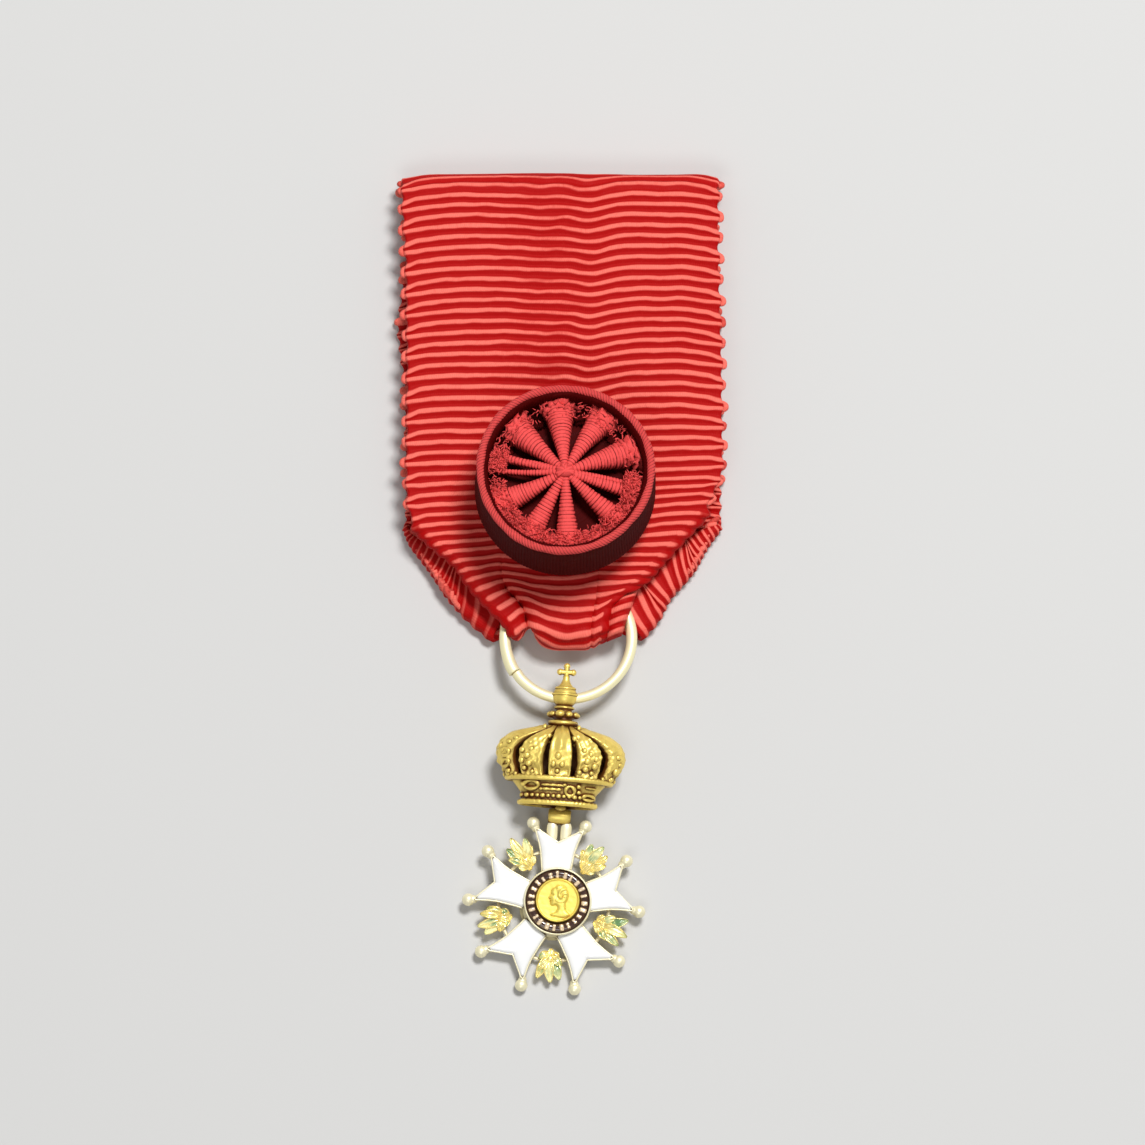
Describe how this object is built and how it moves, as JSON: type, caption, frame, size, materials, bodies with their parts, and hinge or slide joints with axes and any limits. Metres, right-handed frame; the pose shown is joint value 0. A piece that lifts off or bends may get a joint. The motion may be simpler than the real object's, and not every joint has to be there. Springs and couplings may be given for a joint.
{
  "type": "miniature order medal with crown and rosette ribbon",
  "caption": "Small enamelled star hanging from a crown and a wire ring on a folded ribbed ribbon that carries a round gathered rosette, lying on its back.",
  "frame": {"origin": "a point on the ribbon's flat back, on its centre line, 23.15 mm below the top fold", "axes": "+Y along the ribbon towards its top fold, +Z out of the ribbon's front, +X to the right as seen from the front"},
  "size_m": [0.0185, 0.0458, 0.0085],
  "materials": {
    "ribbon": "ribbed crimson silk",
    "rosette": "gathered crimson silk",
    "ring": "polished pale gold",
    "crown": "cast yellow gold, dark in its recesses",
    "star": "polished yellow gold",
    "white_enamel": "fired glossy enamel",
    "leaves": "translucent green enamel over gold",
    "dark_enamel": "fired dark brown enamel"
  },
  "bodies": {
    "root": {"ribbon": "ribbon", "rosette_wall": "rosette", "rosette_pleats": "rosette", "rosette_button": "rosette", "ring": "ring", "crown": "crown", "star_frame": "star", "medallion": "star", "medallion_back": "star", "medallion_enamel": "dark_enamel", "enamel_front_1": "white_enamel", "enamel_back_1": "white_enamel", "wreath_1": "leaves", "enamel_front_2": "white_enamel", "enamel_back_2": "white_enamel", "wreath_2": "leaves", "enamel_front_3": "white_enamel", "enamel_back_3": "white_enamel", "wreath_3": "leaves", "enamel_front_4": "white_enamel", "enamel_back_4": "white_enamel", "wreath_4": "leaves", "enamel_front_5": "white_enamel", "enamel_back_5": "white_enamel", "wreath_5": "leaves"}
  },
  "joints": []
}
